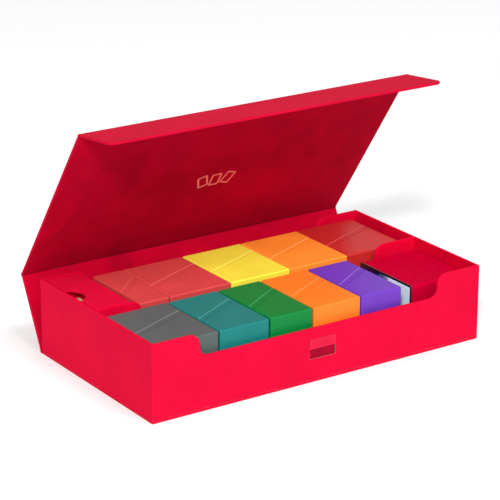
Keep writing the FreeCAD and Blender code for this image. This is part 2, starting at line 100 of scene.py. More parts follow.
def select_only(item: bpy.types.Object) -> None:
    """Make one object the selected and active one.

    Args:
        item: The object that the next operators act on.
    """
    select_nothing()
    item.select_set(True)
    bpy.context.view_layer.objects.active = item


def block(name: str, low: Sequence[float], high: Sequence[float]) -> bpy.types.Object:
    """Add a cube and bring it to the box between two corners.

    Args:
        name: The new object's name.
        low: The lowest corner.
        high: The highest corner.

    Returns:
        The new object, with its place in its mesh.
    """
    select_nothing()
    low, high = Vector(low), Vector(high)
    bpy.ops.mesh.primitive_cube_add(size=1, location=(low + high) / 2)
    item = bpy.context.object
    item.name = name
    item.scale = high - low
    bpy.ops.object.transform_apply(location=True, rotation=True, scale=True)
    return item


def pick(item: bpy.types.Object, part: Part, test: Callable[[Any], bool]) -> int:
    """Go into edit mode with only the elements selected that pass a test.

    Args:
        item: The mesh object to edit.
        part: Whether edges or faces are tested.
        test: Says of one bmesh element whether it is picked.

    Returns:
        How many elements are selected.
    """
    select_only(item)
    bpy.ops.object.mode_set(mode="EDIT")
    bpy.ops.mesh.select_mode(type=part.value)
    bpy.ops.mesh.select_all(action="DESELECT")
    mesh = bmesh.from_edit_mesh(item.data)
    mesh.normal_update()
    elements = mesh.edges if part is Part.EDGE else mesh.faces
    chosen = [element for element in elements if test(element)]
    for element in chosen:
        element.select_set(True)
    bmesh.update_edit_mesh(item.data)
    return len(chosen)


def leave() -> None:
    """Go back to object mode."""
    bpy.ops.object.mode_set(mode="OBJECT")


def round_edges(
    item: bpy.types.Object, radius: float, segments: int, test: Callable[[Any], bool]
) -> None:
    """Round the edges that pass a test.

    Args:
        item: The mesh object.
        radius: The radius of the rounding.
        segments: How many steps the rounding has.
        test: Says of one bmesh edge whether it is rounded.
    """
    if not pick(item, Part.EDGE, test):
        raise ValueError(f"{item.name}: no edge to round")
    bpy.ops.mesh.bevel(offset=radius, segments=segments, affect="EDGES", clamp_overlap=True)
    leave()


def remove_faces(item: bpy.types.Object, test: Callable[[Any], bool]) -> None:
    """Delete the faces that pass a test.

    Args:
        item: The mesh object.
        test: Says of one bmesh face whether it goes.
    """
    pick(item, Part.FACE, test)
    bpy.ops.mesh.delete(type="FACE")
    leave()


def modify(item: bpy.types.Object, kind: str, **settings: Any) -> None:
    """Add a modifier with its settings and apply it.

    Args:
        item: The mesh object.
        kind: The modifier's type, such as BEVEL.
        settings: The modifier's settings by name.
    """
    select_only(item)
    modifier = item.modifiers.new(kind.lower(), kind)
    for key, value in settings.items():
        setattr(modifier, key, value)
    bpy.ops.object.modifier_apply(modifier=modifier.name)


def soften(item: bpy.types.Object, width: float, segments: int, angle: float = 30.0) -> None:
    """Round every edge that is sharper than an angle in degrees."""
    modify(item, "BEVEL", width=width, segments=segments, limit_method="ANGLE",
           angle_limit=math.radians(angle))


def carve(item: bpy.types.Object, tool: bpy.types.Object) -> None:
    """Take one solid away from another; the tool is used up."""
    modify(item, "BOOLEAN", operation="DIFFERENCE", solver="EXACT", object=tool)
    bpy.data.objects.remove(tool)


def join(name: str, items: Sequence[bpy.types.Object]) -> bpy.types.Object:
    """Join several objects into one.

    Args:
        name: The joined object's name.
        items: The objects to join.

    Returns:
        The joined object.
    """
    select_only(items[0])
    for item in items:
        item.select_set(True)
    if len(items) > 1:
        bpy.ops.object.join()
    items[0].name = name
    return items[0]


def copy_of(item: bpy.types.Object, name: str, move: Sequence[float]) -> bpy.types.Object:
    """Copy an object with a mesh of its own and move the copy's mesh.

    Args:
        item: The object to copy.
        name: The copy's name.
        move: How far the copy's mesh is moved.

    Returns:
        The copy.
    """
    made = item.copy()
    made.data = item.data.copy()
    made.name = name
    made.data.transform(Matrix.Translation(Vector(move)))
    bpy.context.collection.objects.link(made)
    return made


def runs_along(edge: Any, axis: int) -> bool:
    """Whether a bmesh edge runs along an axis."""
    step = edge.verts[1].co - edge.verts[0].co
    return step.length > 1e-6 and abs(step[axis]) / step.length > 0.999


def middle(element: Any) -> Vector:
    """The middle of a bmesh edge or face."""
    return sum((vertex.co for vertex in element.verts), Vector()) / len(element.verts)


def near(value: float, *targets: float, within: float = 1e-5) -> bool:
    """Whether a value is at one of several targets."""
    return any(abs(value - target) < within for target in targets)


# --- finishes ------------------------------------------------------------------------------------


def linear(code: str) -> Color:
    """Turn an sRGB hex colour into linear light.

    Args:
        code: The colour as #RRGGBB.

    Returns:
        Red, green, blue and alpha in linear light.
    """
    channels = [int(code[start:start + 2], 16) / 255 for start in (1, 3, 5)]
    light = [c / 12.92 if c <= 0.04045 else ((c + 0.055) / 1.055) ** 2.4 for c in channels]
    return (light[0], light[1], light[2], 1.0)


def grey(level: float) -> Color:
    """A grey in linear light."""
    return (level, level, level, 1.0)


def add(tree: bpy.types.NodeTree, kind: str, links: dict[Any, Any], **settings: Any) -> Any:
    """Add a node to a material.

    Args:
        tree: The material's node tree.
        kind: The node's type name, without its ShaderNode.
        links: For each input, by name or number, its value or the output socket it comes from.
        settings: The node's own settings; stops are a ramp's pairs of a place and a colour.

    Returns:
        The new node.
    """
    node = tree.nodes.new(f"ShaderNode{kind}")
    stops = settings.pop("stops", ())
    for _ in stops[2:]:
        node.color_ramp.elements.new(0.5)
    for number, (place, color) in enumerate(stops):
        node.color_ramp.elements[number].position = place
        node.color_ramp.elements[number].color = color
    for key, value in settings.items():
        setattr(node, key, value)
    for key, value in links.items():
        if isinstance(value, bpy.types.NodeSocket):
            tree.links.new(value, node.inputs[key])
        else:
            node.inputs[key].default_value = value
    return node


@dataclass(frozen=True)
class Finish:
    """A surface finish, made once as a material and then shared."""

    name: str
    color: str

    def material(self) -> bpy.types.Material:
        """Give back the finish's material, and make it the first time.

        Returns:
            The material.
        """
        made = bpy.data.materials.get(self.name)
        if made:
            return made
        made = bpy.data.materials.new(self.name)
        made.use_nodes = True
        tree = made.node_tree
        tree.nodes.clear()
        place = add(tree, "TexCoord", {}).outputs["Object"]
        shader = add(tree, "BsdfPrincipled", self.surface(tree, place))
        add(tree, "OutputMaterial", {"Surface": shader.outputs["BSDF"]})
        return made

    def surface(self, tree: bpy.types.NodeTree, place: Any) -> dict[str, Any]:
        """Add the patterns and give back the shader's inputs; each finish has its own."""
        raise NotImplementedError

    def shade(self, factor: float) -> Color:
        """The finish's colour, darker or lighter by a factor."""
        red, green, blue, alpha = linear(self.color)
        return (min(red * factor, 1.0), min(green * factor, 1.0), min(blue * factor, 1.0), alpha)


@dataclass(frozen=True)
class Leatherette(Finish):
    """Embossed polyurethane on a textile back: satin, with a fine pebbled grain.

    The real pebbles are about 0.6 mm wide and are drawn coarser, so that they show.
    """

    grain: float = 1.5 * MM
    crease: float = 0.6  # creases for each pebble
    cloud: float = 55.56 * MM
    depth: float = 0.10
    relief: float = 0.3 * MM
    roughness: float = 0.42

    def surface(self, tree: bpy.types.NodeTree, place: Any) -> dict[str, Any]:
        """Lay pebbles and creases over slow changes of tone.

        Args:
            tree: The material's node tree.
            place: The object coordinates.

        Returns:
            The shader's inputs.
        """
        pebbles = add(tree, "TexVoronoi", {"Vector": place, "Scale": 1 / self.grain},
                      feature="SMOOTH_F1")
        creases = add(tree, "TexNoise", {"Vector": place, "Scale": self.crease / self.grain,
                                         "Detail": 4.0, "Roughness": 0.6})
        height = add(tree, "Math", {0: pebbles.outputs["Distance"], 1: creases.outputs["Fac"]},
                     operation="ADD")
        bump = add(tree, "Bump", {"Height": height.outputs[0], "Strength": self.depth,
                                  "Distance": self.relief})
        cloud = add(tree, "TexNoise", {"Vector": place, "Scale": 1 / self.cloud, "Detail": 3.0})
        tone = add(tree, "ValToRGB", {"Fac": cloud.outputs["Fac"]},
                   stops=((0.3, self.shade(0.93)), (0.7, self.shade(1.05))))
        pores = add(tree, "ValToRGB", {"Fac": pebbles.outputs["Distance"]},
                    stops=((0.0, grey(1.0)), (0.9, grey(0.86))))
        color = add(tree, "Mix", {0: 1.0, 6: tone.outputs[0], 7: pores.outputs[0]},
                    data_type="RGBA", blend_type="MULTIPLY")
        gloss = add(tree, "MapRange", {0: creases.outputs["Fac"], 1: 0.3, 2: 0.7,
                                       3: self.roughness - 0.05, 4: self.roughness + 0.08})
        return {"Base Color": color.outputs[2], "Roughness": gloss.outputs[0],
                "Normal": bump.outputs[0], "Specular IOR Level": 0.004}


@dataclass(frozen=True)
class Microfibre(Finish):
    """Brushed microfibre cloth: dull, soft at grazing angles, in patches where the nap lies over.

    Its fibres are too fine to show, so the nap is drawn as tufts of just under a millimetre.
    """

    nap: float = 0.9 * MM
    patch: float = 42 * MM
    relief: float = 0.25 * MM

    def surface(self, tree: bpy.types.NodeTree, place: Any) -> dict[str, Any]:
        """Lay a fine nap over patches where it was brushed another way.

        Args:
            tree: The material's node tree.
            place: The object coordinates.

        Returns:
            The shader's inputs.
        """
        fibres = add(tree, "TexNoise", {"Vector": place, "Scale": 1 / self.nap, "Detail": 5.0,
                                        "Roughness": 0.7})
        patches = add(tree, "TexNoise", {"Vector": place, "Scale": 1 / self.patch, "Detail": 3.5,
                                         "Roughness": 0.55, "Distortion": 0.6})
        tone = add(tree, "ValToRGB", {"Fac": patches.outputs["Fac"]}, stops=(
            (0.32, self.shade(0.86)), (0.5, self.shade(1.0)), (0.68, self.shade(1.12))))
        fuzz = add(tree, "ValToRGB", {"Fac": fibres.outputs["Fac"]},
                   stops=((0.25, grey(0.84)), (0.75, grey(1.0))))
        color = add(tree, "Mix", {0: 1.0, 6: tone.outputs[0], 7: fuzz.outputs[0]},
                    data_type="RGBA", blend_type="MULTIPLY")
        bump = add(tree, "Bump", {"Height": fibres.outputs["Fac"], "Strength": 0.25,
                                  "Distance": self.relief})
        return {"Base Color": color.outputs[2], "Normal": bump.outputs[0], "Roughness": 0.92,
                "Specular IOR Level": 0.04, "Sheen Weight": 0.06, "Sheen Roughness": 0.5,
                "Sheen Tint": self.shade(1.6)}


@dataclass(frozen=True)
class FrostedPlastic(Finish):
    """Polypropylene moulded against spark-eroded steel: matt, with light that soaks in a little.

    The real frosting is about 0.1 mm and is drawn coarser, so that it shows.
    """

    frost: float = 1.111 * MM
    cloud: float = 41.67 * MM
    relief: float = 0.1 * MM
    soak: float = 3 * MM
    roughness: float = 0.38

    def surface(self, tree: bpy.types.NodeTree, place: Any) -> dict[str, Any]:
        """Lay fine frosting over a faint cloudiness from the cards behind the wall.

        Args:
            tree: The material's node tree.
            place: The object coordinates.

        Returns:
            The shader's inputs.
        """
        frost = add(tree, "TexNoise", {"Vector": place, "Scale": 1 / self.frost, "Detail": 2.0})
        cloud = add(tree, "TexNoise", {"Vector": place, "Scale": 1 / self.cloud, "Detail": 3.0})
        tone = add(tree, "ValToRGB", {"Fac": cloud.outputs["Fac"]},
                   stops=((0.3, self.shade(0.95)), (0.7, self.shade(1.06))))
        bump = add(tree, "Bump", {"Height": frost.outputs["Fac"], "Strength": 0.12,
                                  "Distance": self.relief})
        gloss = add(tree, "MapRange", {0: frost.outputs["Fac"], 1: 0.3, 2: 0.7,
                                       3: self.roughness - 0.04, 4: self.roughness + 0.06})
        return {"Base Color": tone.outputs[0], "Roughness": gloss.outputs[0],
                "Normal": bump.outputs[0], "IOR": 1.49, "Specular IOR Level": 0.15,
                "Subsurface Weight": 0.06, "Subsurface Radius": (self.soak,) * 3}


@dataclass(frozen=True)
class Grained(Finish):
    """A surface whose tone follows one pattern of grains, as its relief and gloss may.

    A grain's size is given along X, Y and Z, and math.inf lets it run on without end.
    """

    grain: tuple[float, float, float] = (MM, MM, MM)
    detail: float = 3.0
    distortion: float = 0.0
    tones: tuple[tuple[float, float], ...] = ((0.3, 0.85), (0.7, 1.1))
    relief: float = 0.0
    gloss: tuple[float, ...] = ()
    inputs: tuple[tuple[str, float], ...] = ()

    def surface(self, tree: bpy.types.NodeTree, place: Any) -> dict[str, Any]:
        """Lay one pattern of grains.

        Args:
            tree: The material's node tree.
            place: The object coordinates.

        Returns:
            The shader's inputs.
        """
        sized = add(tree, "Mapping", {"Vector": place,
                                      "Scale": tuple(1 / size for size in self.grain)})
        grains = add(tree, "TexNoise", {"Vector": sized.outputs[0], "Scale": 1.0,
                                        "Detail": self.detail, "Distortion": self.distortion})
        tone = add(tree, "ValToRGB", {"Fac": grains.outputs["Fac"]},
                   stops=tuple((level, self.shade(factor)) for level, factor in self.tones))
        found = {"Base Color": tone.outputs[0], **dict(self.inputs)}
        if self.relief:
            found["Normal"] = add(tree, "Bump", {
                "Height": grains.outputs["Fac"], "Strength": 0.3,
                "Distance": self.relief}).outputs[0]
        if self.gloss:
            found["Roughness"] = add(tree, "MapRange", {
                0: grains.outputs["Fac"], 3: self.gloss[0], 4: self.gloss[1]}).outputs[0]
        return found


@dataclass(frozen=True)
class CardPaper(Finish):
    """Coated card stock in clear sleeves, seen on edge: pale, with a line for each card."""

    pitch: float = 0.7 * MM
    relief: float = 0.2 * MM

    def surface(self, tree: bpy.types.NodeTree, place: Any) -> dict[str, Any]:
        """Draw lines across the deck at the pitch of one sleeved card.

        Args:
            tree: The material's node tree.
            place: The object coordinates.

        Returns:
            The shader's inputs.
        """
        # At a scale of 1 the bands repeat every pi / 10.
        lines = add(tree, "TexWave", {"Vector": place, "Scale": math.pi / 10 / self.pitch,
                                      "Distortion": 0.4, "Detail": 1.0},
                    wave_type="BANDS", bands_direction="X")
        tone = add(tree, "ValToRGB", {"Fac": lines.outputs["Fac"]},
                   stops=((0.2, self.shade(0.55)), (0.6, self.shade(1.0))))
        bump = add(tree, "Bump", {"Height": lines.outputs["Fac"], "Strength": 0.4,
                                  "Distance": self.relief})
        return {"Base Color": tone.outputs[0], "Normal": bump.outputs[0], "Roughness": 0.5}


@dataclass(frozen=True)
class PictureCard(Finish):
    """Printed card under a clear sleeve: an abstract night sky over snow, black at its edge."""

    low: tuple[float, float, float] = (0.0, 0.0, 0.0)
    high: tuple[float, float, float] = (1.0, 1.0, 1.0)
    margin: float = 2.6 * MM
    cloud: float = 10.526 * MM
    sky: tuple[tuple[float, str], ...] = (
        (0.0, "#0A0A2E"), (0.42, "#12123F"), (0.62, "#6A7FA8"), (0.74, "#F4FAFF"),
        (0.95, "#DCEFF6"))

    def surface(self, tree: bpy.types.NodeTree, place: Any) -> dict[str, Any]:
        """Run sky into snow along the card, inside a dark margin.

        Args:
            tree: The material's node tree.
            place: The object coordinates.

        Returns:
            The shader's inputs.
        """
        part = add(tree, "SeparateXYZ", {"Vector": place})
        cloud = add(tree, "TexNoise", {"Vector": place, "Scale": 1 / self.cloud, "Detail": 5.0,
                                       "Roughness": 0.65})
        along = add(tree, "MapRange", {0: part.outputs["Y"], 1: self.high[1], 2: self.low[1],
                                       3: -0.22, 4: 1.02})
        level = add(tree, "Math", {0: cloud.outputs["Fac"], 1: 0.42, 2: along.outputs[0]},
                    operation="MULTIPLY_ADD")
        picture = add(tree, "ValToRGB", {"Fac": level.outputs[0]}, stops=tuple(
            (stop, linear(code)) for stop, code in self.sky))
        inside: Any = 1.0
        for axis in (1, 2):
            centre = (self.low[axis] + self.high[axis]) / 2
            half = (self.high[axis] - self.low[axis]) / 2 - self.margin
            within = add(tree, "Math", {0: part.outputs[axis], 1: centre, 2: half},
                         operation="COMPARE")
            inside = add(tree, "Math", {0: inside, 1: within.outputs[0]},
                         operation="MULTIPLY").outputs[0]
        color = add(tree, "Mix", {0: inside, 6: linear(self.color), 7: picture.outputs[0]},
                    data_type="RGBA")
        return {"Base Color": color.outputs[2], "Roughness": 0.3, "Coat Weight": 0.4}


# The tray's leatherette is a satin red with a soft grain; the cover's is darker, as painted shade.
LEATHER = Leatherette("embossed_pu_leatherette", "#C60D32")
SHADED_COVER_LEATHER = Leatherette("shaded_cover_pu_leatherette", "#B40B2C")
# The blocked label is paler and flatter, because the hot die pressed its grain smaller.
LABEL = Leatherette("blocked_pu_label", "#C61F3D", grain=1.1 * MM)
# The linings are dull and cloudy; their copies below differ in tone as painted light and shade.
# The tray's lining is the lighter copy, as painted light.
LIT_LINING = Microfibre("lit_brushed_microfibre", "#CA002B")
# The cover's lining is the darker copy, as painted shade.
COVER_CLOTH_SHADED = Microfibre("cover_microfibre_shaded", "#B00024")
# The fold's crease is a darker copy, as painted shade.
CREASE_SHADE = Microfibre("crease_shade_microfibre", "#8C0020", nap=0.7 * MM)
# The label's recess is a darker copy, as painted shade.
RECESS_SHADE = Microfibre("recess_shade_microfibre", "#8A0622", nap=0.7 * MM)
# Recycled board is dull grey-brown, with short fibres and specks.
BOARD = Grained("recycled_greyboard", "#9A948C", grain=(1.4286 * MM,) * 3, detail=6.0,
                tones=((0.3, 0.75), (0.7, 1.15)), relief=0.2 * MM, inputs=(("Roughness", 0.95),))
# Nickel plate on ground steel is bright, with brush marks along it, drawn coarser than they are.
STEEL = Grained("plated_steel", "#C8C8C8", grain=(16.667 * MM, 0.66667 * MM, 0.66667 * MM),
                gloss=(0.18, 0.4), inputs=(("Metallic", 1.0),))
# Hot-stamped foil is a satin film that took a little of the cloth's texture.
FOIL = Grained("rose_foil", "#F0767C", grain=(2 * MM,) * 3,
               inputs=(("Roughness", 0.35), ("Metallic", 0.2)))
# Matt polypropylene sleeves are an even red, with a faint line at every sleeve.
SLEEVES = Grained("red_sleeve_film", "#B4002A", grain=(0.714286 * MM, math.inf, math.inf),
                  detail=1.0, tones=((0.35, 0.86), (0.65, 1.08)),
                  inputs=(("Roughness", 0.45), ("Specular IOR Level", 0.004)))
# Tumbled and polished acrylic is faintly marbled under a clear gloss.
DICE = Grained("cream_acrylic", "#F5DFAE", grain=(11.111 * MM,) * 3, distortion=1.2,
               tones=((0.35, 0.85), (0.65, 1.05)),
               inputs=(("Roughness", 0.18), ("Coat Weight", 0.5)))
# The pips are matt brown paint, and the deck's edges are pale lines of coated card.
PIPS = FrostedPlastic("pip_paint", "#9A7448")
DECK = CardPaper("sleeved_deck", "#DAD6CE")


# --- placing and dressing ------------------------------------------------------------------------


def dress(
    item: bpy.types.Object,
    body: str,
    finishes: Sequence[Finish],
    nodes: Sequence[str] = (),
    smooth: float = 35.0,
) -> bpy.types.Object:
    """Finish a piece: smooth it, give it its material, and let it ride on its body.

    Args:
        item: The piece.
        body: The CAD body it moves with.
        finishes: Its finishes, in the order of its faces' material numbers.
        nodes: The CAD nodes that it stands for.
        smooth: The largest angle in degrees that is shaded smooth.

    Returns:
        The piece.
    """
    select_only(item)
    bpy.ops.object.shade_smooth_by_angle(angle=math.radians(smooth))
    modify(item, "WEIGHTED_NORMAL", keep_sharp=True)
    while len(item.data.materials) < len(finishes):
        item.data.materials.append(None)
    for number, finish in enumerate(finishes):
        item.data.materials[number] = finish.material()
    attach(item, body)
    if nodes:
        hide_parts(*nodes)
    log.info("%s: %d faces, rides on %s", item.name, len(item.data.polygons), body)
    return item


def dress_node(name: str, finish: Finish) -> None:
    """Give a CAD node that stays as it is a better material.

    Args:
        name: The node's name.
        finish: Its finish.
    """
    item = frame["nodes"][name]
    if item.data.materials:
        item.data.materials[0] = finish.material()
    else:
        item.data.materials.append(finish.material())
    log.info("%s: kept from the frame", name)


def joint(name: str) -> dict[str, Any]:
    """Give back one joint of the frame by its name."""
    return next(item for item in frame["record"]["behaviour"]["joints"] if item["name"] == name)


# --- sub-assemblies ------------------------------------------------------------------------------


@dataclass
class RimOutline:
    """The lowered middle that the front wall, the divider and the back wall share."""

    half_width: float = 151 * MM
    floor: float = 60 * MM
    shoulder: float = 12 * MM
    corner: float = 10 * MM
    segments: int = 10
    reach: float = 1.0

    def cut(self, item: bpy.types.Object, rim: float) -> None:
        """Cut the lowered middle into a solid whose walls reach the rim.

        Args:
            item: The solid to cut.
            rim: The height of the rim.
        """
        carve(item, block("notch", (-self.half_width, -self.reach, self.floor),
                          (self.half_width, self.reach, rim + self.corner)))
        for radius, level in ((self.corner, self.floor), (self.shoulder, rim)):
            round_edges(item, radius, self.segments, lambda edge: (
                runs_along(edge, 1) and near(abs(middle(edge).x), self.half_width)
                and near(middle(edge).z, level)))


@dataclass
class Tray:
    """The tray: its leatherette wrap, its lining, the label in its front and its boards."""

    outline: RimOutline
    skin: float = 0.4 * MM
    board: float = 2.2 * MM
    lining: float = 0.4 * MM
    corner_round: float = 1.1 * MM
    rim_round: float = 0.8 * MM
    divider_round: float = 1.1 * MM
    clearance: float = 5 * MM
    ribs: int = 5
    rib_height: float = 0.6 * MM
    rib_proud: float = 0.18 * MM
    rib_root: float = 0.2 * MM

    def build(self) -> None:
        """Build and dress every piece of the tray."""
        self.low, self.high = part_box("tray_outer_skin")
        self.wrap()
        self.line()
        self.base()
        self.label()
        for name in ("tray_bottom_board", "front_wall_board", "back_wall_board",
                     "divider_board", "left_wall_board", "right_wall_board"):
            dress_node(name, BOARD)
        dress_node("keeper_plates", STEEL)

    def wrap(self) -> None:
        """Fold one sheet of leatherette round the walls and over their rims."""
        low, high = self.low, self.high
        item = block("tray_wrap", low, high)
        inner = self.skin + self.board
        past = Vector((0, 0, self.clearance))
        set_in = Vector((inner, inner, 0))
        carve(item, block("well", low + set_in - past, high - set_in + past))
        self.outline.cut(item, high.z)
        round_edges(item, self.corner_round, 4, lambda edge: runs_along(edge, 2)
                    and near(abs(middle(edge).x), high.x) and near(abs(middle(edge).y), high.y))
        self.cut_window(item)
        soften(item, self.rim_round, 3, angle=50)
        wall = high - set_in + Vector((0.2 * MM, 0.2 * MM, 0))

        def hidden(face: Any) -> bool:
            """Whether a bmesh face is glued to a board or stands on the base panel.

            Args:
                face: The face.

            Returns:
                Whether it is left out of the wrap.
            """
            at, normal = middle(face), face.normal
            glued = abs(at.x) < wall.x and abs(at.y) < wall.y and abs(normal.z) < 0.3
            return glued or (normal.z < -0.9 and at.z < low.z + 0.5 * MM)

        remove_faces(item, hidden)
        modify(item, "SOLIDIFY", thickness=self.skin, offset=-1.0)
        dress(item, "tray", (LEATHER,), ("tray_outer_skin",))

    def cut_window(self, item: bpy.types.Object) -> None:
        """Cut the label's window through the front of the wrap.

        Args:
            item: The wrap.
        """
        low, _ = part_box("label_recess_liner")
        _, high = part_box("label_plate")
        front = self.low.y
        carve(item, block("window", (low.x, front - self.clearance, low.z),
                          (high.x, front + self.skin + self.board + MM, high.z)))

    def line(self) -> None:
        """Line both bays and the divider with one sheet of microfibre."""
        low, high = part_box("tray_lining")
        divider_low, divider_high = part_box("divider_board")
        skin = self.lining
        item = block("tray_lining_cloth", low, high)
        top = high.z + self.clearance
        floor = low.z + skin
        bays = ((low.y + skin, divider_low.y - skin), (divider_high.y + skin, high.y - skin))
        for front, back in bays:
            carve(item, block("bay", (low.x + skin, front, floor), (high.x - skin, back, top)))
        self.outline.cut(item, high.z)
        round_edges(item, self.divider_round, 4, lambda edge: (
            not runs_along(edge, 1) and not runs_along(edge, 2)
            and near(middle(edge).y, divider_low.y - skin, divider_high.y + skin)
            and middle(edge).z > self.outline.floor - MM
            and abs(middle(edge).x) < high.x - skin - 0.1 * MM
            and max(face.normal.z for face in edge.link_faces) > 0.05)
            or (runs_along(edge, 2) and near(abs(middle(edge).x), self.outline.half_width)
                and near(middle(edge).y, divider_low.y - skin, divider_high.y + skin)))
        dress(item, "tray", (LIT_LINING,), ("tray_lining",))

    def base(self) -> None:
        """Wrap the base panel, with rounded edges."""
        low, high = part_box("base_panel")
        item = block("base_panel_wrapped", low, high)
        soften(item, self.rim_round, 3)
        dress(item, "tray", (LEATHER,), ("base_panel",))

    def label(self) -> None:
        """Set the ribbed plate and the recess, darker as painted shade, into the front wall's
        window.
        """
        low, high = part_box("label_plate")
        plate = block("label_plate_embossed", low, high)
        soften(plate, 0.35 * MM, 2)
        size = high - low
        ribs = []
        for number in range(self.ribs):
            # The lowest rib is the longest, and they are spread over the plate's height.
            half = size.x * (0.62 - 0.09 * number) / 2
            level = low.z + size.z * (0.24 + 0.13 * number)
            ribs.append(block("rib", (-half, low.y - self.rib_proud, level - self.rib_height / 2),
                              (half, low.y + self.rib_root, level + self.rib_height / 2)))
        ribs = join("label_ribs", ribs)
        soften(ribs, 0.12 * MM, 2)
        plate = join("label_plate_embossed", (plate, ribs))
        dress(plate, "tray", (LABEL,), ("label_plate",))
        low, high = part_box("label_recess_liner")
        liner = block("label_recess_cloth", low, high)
        soften(liner, 0.1 * MM, 2)
        dress(liner, "tray", (RECESS_SHADE,), ("label_recess_liner",))


@dataclass
class CoverPanel:
    """One wrapped panel of the cover, modelled flat and then turned to its place."""

    name: str
    body: str
    pivot: Vector
    angle: float
    span: float
    half_length: float
    gap: float = 1.8 * MM
    thickness: float = 3.0 * MM
    skin: float = 0.4 * MM
    turn_in: float = 1.0 * MM
    edge_round: float = 0.9 * MM
    proud: float = 0.06 * MM
    cloth_round: float = 0.25 * MM
    glue_edge: float = 0.3 * MM
    corner: float = 0.0
    free_edge: bool = False

    def build(self) -> None:
        """Build the leatherette and the lining, and dress the board between them."""
        half, start = self.half_length, self.gap
        end = self.span if self.free_edge else self.span - self.gap
        low = Vector((-half, start, -self.thickness / 2))
        high = Vector((half, end, self.thickness / 2))
        item = block(f"{self.name}_wrap", low, high)
        self.round_corners(item, end, self.corner)
        self.round_rim(item, self.edge_round, 3, start, end)
        pick(item, Part.FACE, lambda face: face.normal.z > 0.99)
        bpy.ops.mesh.inset(thickness=self.glue_edge)
        bpy.ops.mesh.delete(type="FACE")
        leave()
        modify(item, "SOLIDIFY", thickness=self.skin, offset=-1.0)
        self.turn(item)
        dress(item, self.body, (SHADED_COVER_LEATHER,), (f"{self.name}_skin",))
        far = end - self.turn_in if self.free_edge else end
        cloth = block(f"{self.name}_lining_cloth",
                      (low.x + self.turn_in, start, high.z - self.skin),
                      (high.x - self.turn_in, far, high.z + self.proud))
        self.round_corners(cloth, far, self.corner - self.turn_in)
        self.round_rim(cloth, self.cloth_round, 2, start, far)
        self.turn(cloth)
        dress(cloth, self.body, (COVER_CLOTH_SHADED,), (f"{self.name}_lining",))
        dress_node(f"{self.name}_board", BOARD)

    def round_rim(
        self, item: bpy.types.Object, radius: float, segments: int, start: float, end: float
    ) -> None:
        """Round a flat layer's rim, but not where it runs on into a fold.

        Args:
            item: The flat layer.
            radius: The radius of the rounding.
            segments: How many steps the rounding has.
            start: Where the layer starts.
            end: Where it ends.
        """
        folds = (start,) if self.free_edge else (start, end)
        top = max(vertex.co.z for vertex in item.data.vertices)
        low = min(vertex.co.z for vertex in item.data.vertices)
        round_edges(item, radius, segments, lambda edge: near(middle(edge).z, top, low)
                    and near(edge.verts[0].co.z, edge.verts[1].co.z)
                    and not (runs_along(edge, 0) and near(middle(edge).y, *folds)))

    def round_corners(self, item: bpy.types.Object, end: float, radius: float) -> None:
        """Round the two corners at the panel's free edge, if it has them.

        Args:
            item: The flat layer.
            end: Where its free edge is.
            radius: The corner radius.
        """
        if self.corner:
            round_edges(item, radius, 8,
                        lambda edge: runs_along(edge, 2) and near(middle(edge).y, end))

    def turn(self, item: bpy.types.Object) -> None:
        """Turn a flat layer to the panel's lean and move it to the fold."""
        item.data.transform(Matrix.Translation(self.pivot) @ Matrix.Rotation(self.angle, 4, "X"))


@dataclass
class Fold:
    """The strip of leatherette and lining that bends between two panels."""

    name: str
    bodies: tuple[str, str]
    pivot: Vector
    before: float
    after: float
    half_length: float
    gap: tuple[float, float] = (1.8 * MM, 1.8 * MM)
    half_thickness: float = 1.5 * MM
    crease: float = 1.2 * MM
    end_round: float = 0.3 * MM
    bend: float = 0.75  # how much of the crease's depth bends on each side of the pivot
    steps: int = 12

    def build(self) -> None:
        """Shape a round bar into the bent strip between the two panels."""
        outline = self.outline()
        count = len(outline)
        select_nothing()
        bpy.ops.mesh.primitive_cylinder_add(vertices=count, radius=1.0, depth=2 * self.half_length,
                                            rotation=(0, math.radians(90), 0))
        item = bpy.context.object
        item.name = f"{self.name}_fold_cloth"
        bpy.ops.object.transform_apply(location=True, rotation=True, scale=True)
        for vertex in item.data.vertices:
            turn = math.atan2(vertex.co.z, vertex.co.y) % math.tau
            vertex.co = Vector((vertex.co.x, *outline[round(turn / math.tau * count) % count]))
        select_only(item)
        bpy.ops.object.mode_set(mode="EDIT")
        bpy.ops.mesh.select_all(action="SELECT")
        bpy.ops.mesh.normals_make_consistent(inside=False)
        leave()
        round_edges(item, self.end_round, 2, lambda edge: all(
            near(abs(vertex.co.x), self.half_length) for vertex in edge.verts))
        bpy.ops.object.shade_smooth_by_angle(angle=math.radians(40))
        item.data.materials.append(SHADED_COVER_LEATHER.material())
        item.data.materials.append(CREASE_SHADE.material())
        inward = self.normal(self.before) + self.normal(self.after)
        # Faces turned into the fold get the darker crease microfibre, as painted shade.
        for face in item.data.polygons:
            if face.normal.dot(inward.normalized()) > 0.2 and abs(face.normal.x) < 0.5:
                face.material_index = 1
        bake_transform(item)
        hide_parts(f"{self.name}_hinge_strip")
        log.info("%s: bends between %s and %s", item.name, *self.bodies)

    def direction(self, angle: float) -> Vector:
        """The direction in which a panel at this angle runs from its fold."""
        return Vector((0, math.cos(angle), math.sin(angle)))

    def normal(self, angle: float) -> Vector:
        """The direction that a panel at this angle turns to the inside of the case."""
        return Vector((0, -math.sin(angle), math.cos(angle)))

    def outline(self) -> list[tuple[float, float]]:
        """Work out the bent strip's outline across the fold.

        Returns:
            The points (y, z) round the strip, starting on the outer side of the first panel.
        """
        half = self.half_thickness
        first = self.pivot - self.direction(self.before) * self.gap[0]
        last = self.pivot + self.direction(self.after) * self.gap[1]
        points = [first - self.normal(self.before) * half]
        for step in range(self.steps + 1):
            angle = self.before + (self.after - self.before) * step / self.steps
            points.append(self.pivot - self.normal(angle) * half)
        points.append(last - self.normal(self.after) * half)
        points.append(last + self.normal(self.after) * half)
        inward = (self.normal(self.before) + self.normal(self.after)).normalized()
        points.append(self.pivot + inward * self.crease)
        points.append(first + self.normal(self.before) * half)
        return [(point.y, point.z) for point in points]


